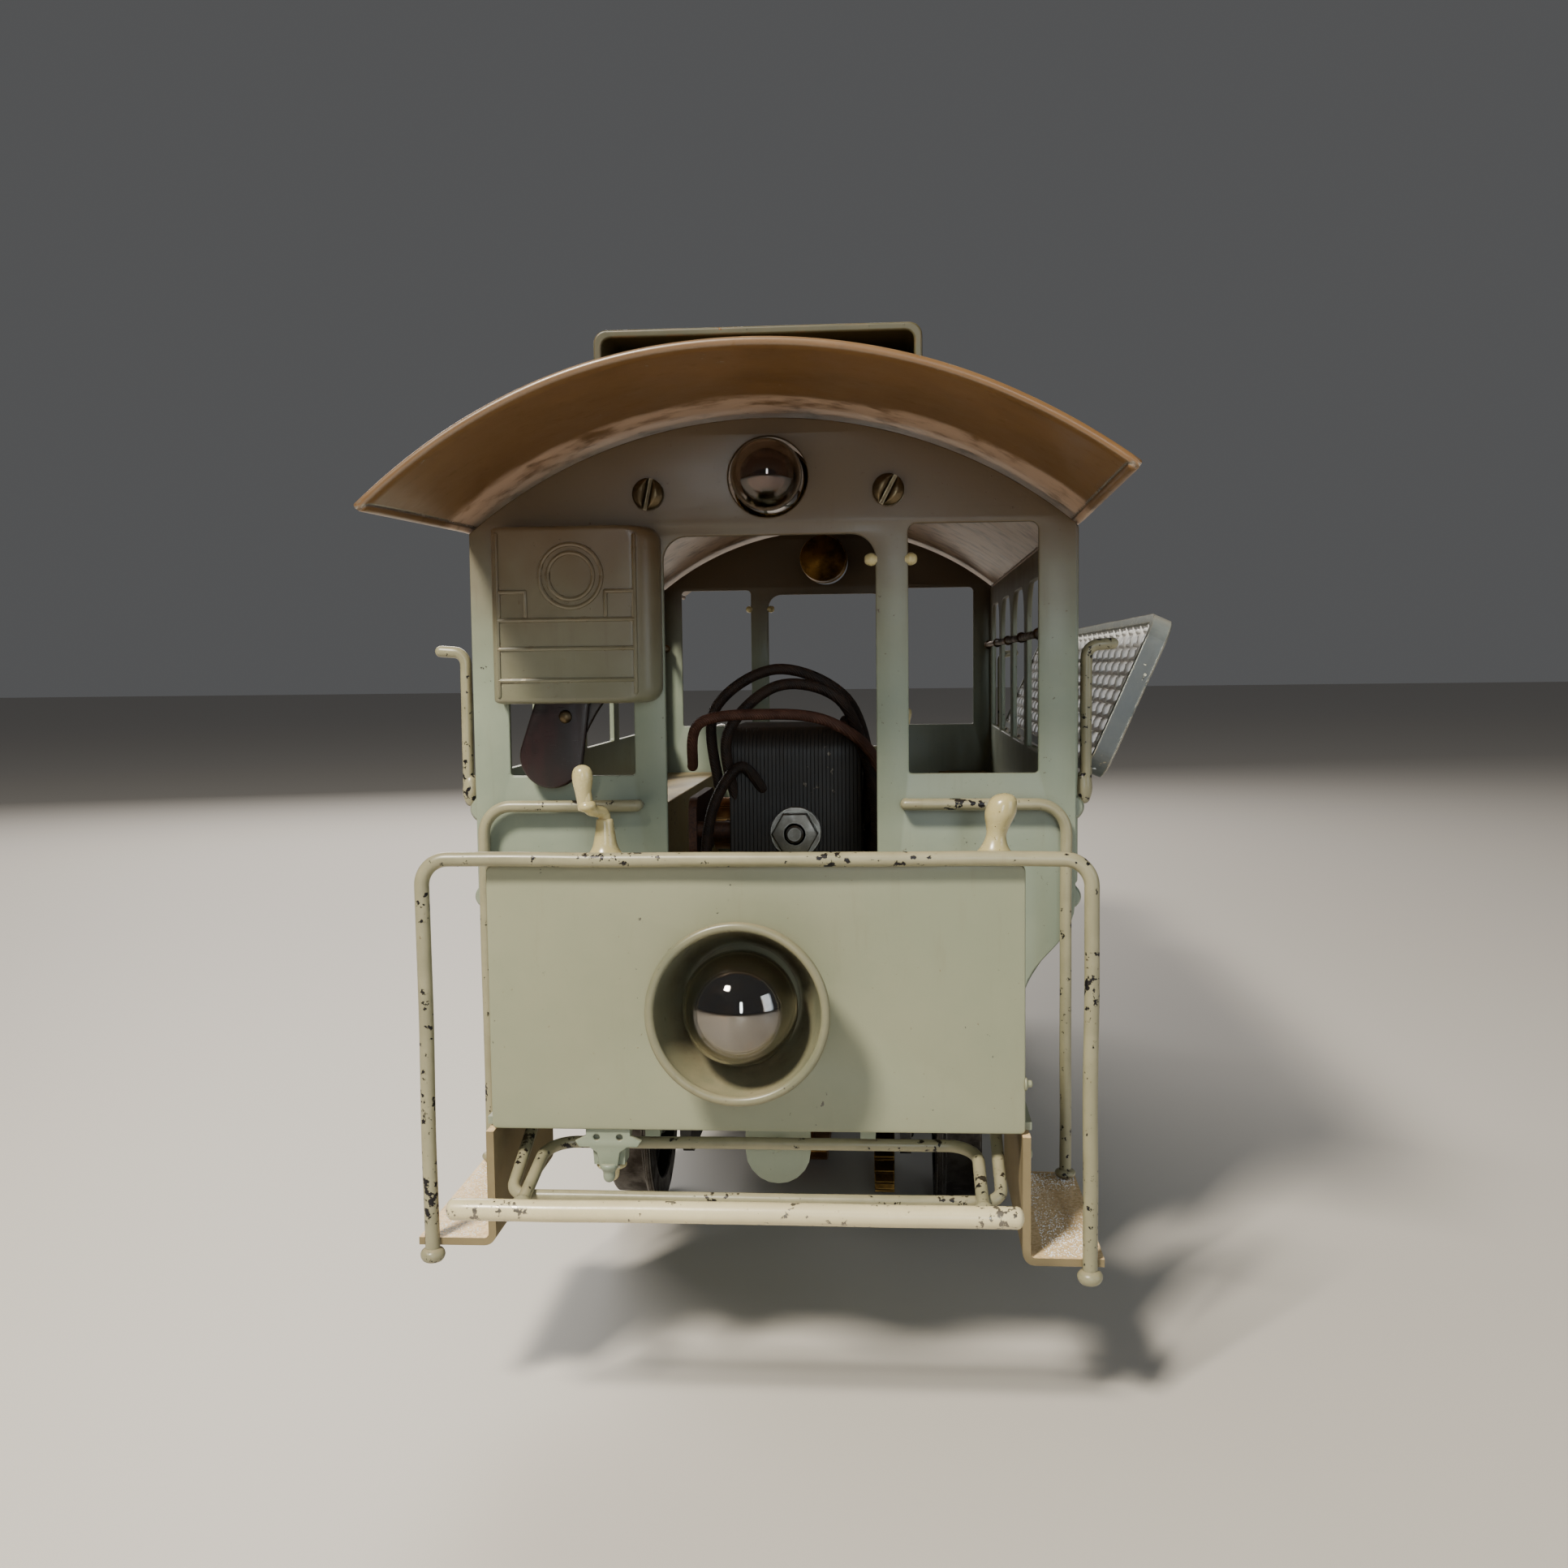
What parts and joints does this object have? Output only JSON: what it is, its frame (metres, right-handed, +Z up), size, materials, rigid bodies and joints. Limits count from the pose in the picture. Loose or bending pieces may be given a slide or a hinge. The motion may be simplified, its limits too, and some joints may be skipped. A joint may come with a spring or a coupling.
{
  "type": "model electric tram car",
  "caption": "Double-ended four-wheel electric tram car with arched roof, open platforms, headlights, gear-driven axle, switch and tilting side guard.",
  "frame": {"origin": "midway between the axles on the plane of the rail tops, at the centre of the pickup shoe's sole", "axes": "+Z up, +Y along the car towards its rear, the front looks along -Y, +X to the right seen from the front"},
  "size_m": [0.109, 0.2726, 0.1392],
  "materials": {
    "sage_paint": "aged grey-green enamel, satin",
    "dash_paint": "aged warm grey enamel, satin",
    "roof_paint": "aged brown enamel with a worn bright edge",
    "board_paint": "dark olive enamel with rust at the folds",
    "bench_paint": "aged beige enamel",
    "rod_paint": "chipped cream enamel on drawn wire",
    "tread_grit": "sandy textured enamel",
    "handle_ivory": "glossy ivory enamel on metal",
    "bulb_glass": "clear, silvered by reflections",
    "socket_brass": "dulled brass",
    "switch_paint": "aged sage enamel over brown primer",
    "switch_bakelite": "dark maroon moulded resin",
    "bright_steel": "turned, slightly dulled",
    "guard_steel": "bluish grey enamel worn to metal",
    "guard_mesh": "woven wire, dulled",
    "frame_iron": "dark, oiled",
    "wheel_iron": "dark, polished treads",
    "gear_brass": "machined",
    "brush_fibre": "pressed fibre board",
    "shoe_bronze": "worn bright underneath"
  },
  "bodies": {
    "car": {"floor_pan": "sage_paint", "left_side_wall": "sage_paint", "right_side_wall": "sage_paint", "roof": "roof_paint", "roof_board": "board_paint", "left_bench": "bench_paint", "right_bench": "bench_paint", "front_end_wall": "sage_paint", "front_dash": "dash_paint", "front_guard_rail": "rod_paint", "front_left_step": "tread_grit", "front_right_step": "tread_grit", "front_left_stanchion": "rod_paint", "front_right_stanchion": "rod_paint", "front_left_hook": "sage_paint", "front_right_hook": "sage_paint", "front_headlight_cup": "dash_paint", "front_headlight_bulb": "bulb_glass", "front_headlight_socket": "socket_brass", "front_lamp_bulb": "bulb_glass", "front_lamp_socket": "socket_brass", "front_fender": "rod_paint", "rear_end_wall": "sage_paint", "rear_dash": "dash_paint", "rear_guard_rail": "rod_paint", "rear_left_step": "tread_grit", "rear_right_step": "tread_grit", "rear_left_stanchion": "rod_paint", "rear_right_stanchion": "rod_paint", "rear_left_hook": "sage_paint", "rear_right_hook": "sage_paint", "rear_headlight_cup": "dash_paint", "rear_headlight_bulb": "bulb_glass", "rear_headlight_socket": "socket_brass", "rear_lamp_bulb": "bulb_glass", "rear_lamp_socket": "socket_brass", "rear_fender": "rod_paint", "switch_case": "switch_paint", "switch_pin": "bright_steel", "truck_frame": "frame_iron", "motor_field": "frame_iron", "pole_bolt": "bright_steel", "brush_plate": "brush_fibre"},
    "front_wheelset": {"front_axle": "bright_steel", "front_left_wheel": "wheel_iron", "front_right_wheel": "wheel_iron", "axle_gear": "gear_brass"},
    "rear_wheelset": {"rear_axle": "bright_steel", "rear_left_wheel": "wheel_iron", "rear_right_wheel": "wheel_iron"},
    "idler": {"idler_gear": "gear_brass"},
    "motor_armature": {"armature": "bright_steel"},
    "switch": {"switch_lever": "switch_bakelite"},
    "side_guard": {"side_guard_frame": "guard_steel", "side_guard_panel": "guard_mesh"},
    "front_brake": {"front_brake_staff": "handle_ivory"},
    "rear_brake": {"rear_brake_staff": "handle_ivory"},
    "front_controller": {"front_controller_handle": "handle_ivory"},
    "rear_controller": {"rear_controller_handle": "handle_ivory"},
    "shoe": {"pickup_shoe": "shoe_bronze"}
  },
  "joints": [
    {"name": "front_axle_spin", "type": "hinge", "parent": "car", "child": "front_wheelset", "pos_m": [0, -0.04, 0.0155], "axis": [1, 0, 0], "continuous": true},
    {"name": "rear_axle_spin", "type": "hinge", "parent": "car", "child": "rear_wheelset", "pos_m": [0, 0.04, 0.0155], "axis": [1, 0, 0], "continuous": true},
    {"name": "idler_spin", "type": "hinge", "parent": "car", "child": "idler", "pos_m": [0, -0.02206, 0.042], "axis": [1, 0, 0], "continuous": true},
    {"name": "armature_spin", "type": "hinge", "parent": "car", "child": "motor_armature", "pos_m": [0, -0.022, 0.066], "axis": [1, 0, 0], "continuous": true},
    {"name": "switch_throw", "type": "hinge", "parent": "car", "child": "switch", "pos_m": [-0.0286, -0.0934, 0.097], "axis": [0, 1, 0], "range_deg": [-26, 0]},
    {"name": "side_guard_tilt", "type": "hinge", "parent": "car", "child": "side_guard", "pos_m": [0.0458, 0, 0.0778], "axis": [0, 1, 0], "range_deg": [-22, 50]},
    {"name": "front_brake_turn", "type": "hinge", "parent": "car", "child": "front_brake", "pos_m": [-0.0192, -0.11925, 0.075], "axis": [0, 0, 1], "range_deg": [-90, 90]},
    {"name": "rear_brake_turn", "type": "hinge", "parent": "car", "child": "rear_brake", "pos_m": [0.0192, 0.11925, 0.075], "axis": [0, 0, 1], "range_deg": [-90, 90]},
    {"name": "front_controller_turn", "type": "hinge", "parent": "car", "child": "front_controller", "pos_m": [0.0304, -0.11925, 0.075], "axis": [0, 0, 1], "range_deg": [-60, 60]},
    {"name": "rear_controller_turn", "type": "hinge", "parent": "car", "child": "rear_controller", "pos_m": [-0.0304, 0.11925, 0.075], "axis": [0, 0, 1], "range_deg": [-60, 60]},
    {"name": "shoe_lift", "type": "slide", "parent": "car", "child": "shoe", "axis": [0, 0, 1], "range_m": [0, 0.002], "stiffness_N_per_m": 200, "springref_m": -0.001}
  ],
  "couplings": [
    {"joint": "idler_spin", "follows": "front_axle_spin", "ratio": -0.77778},
    {"joint": "armature_spin", "follows": "front_axle_spin", "ratio": 2.3333}
  ]
}
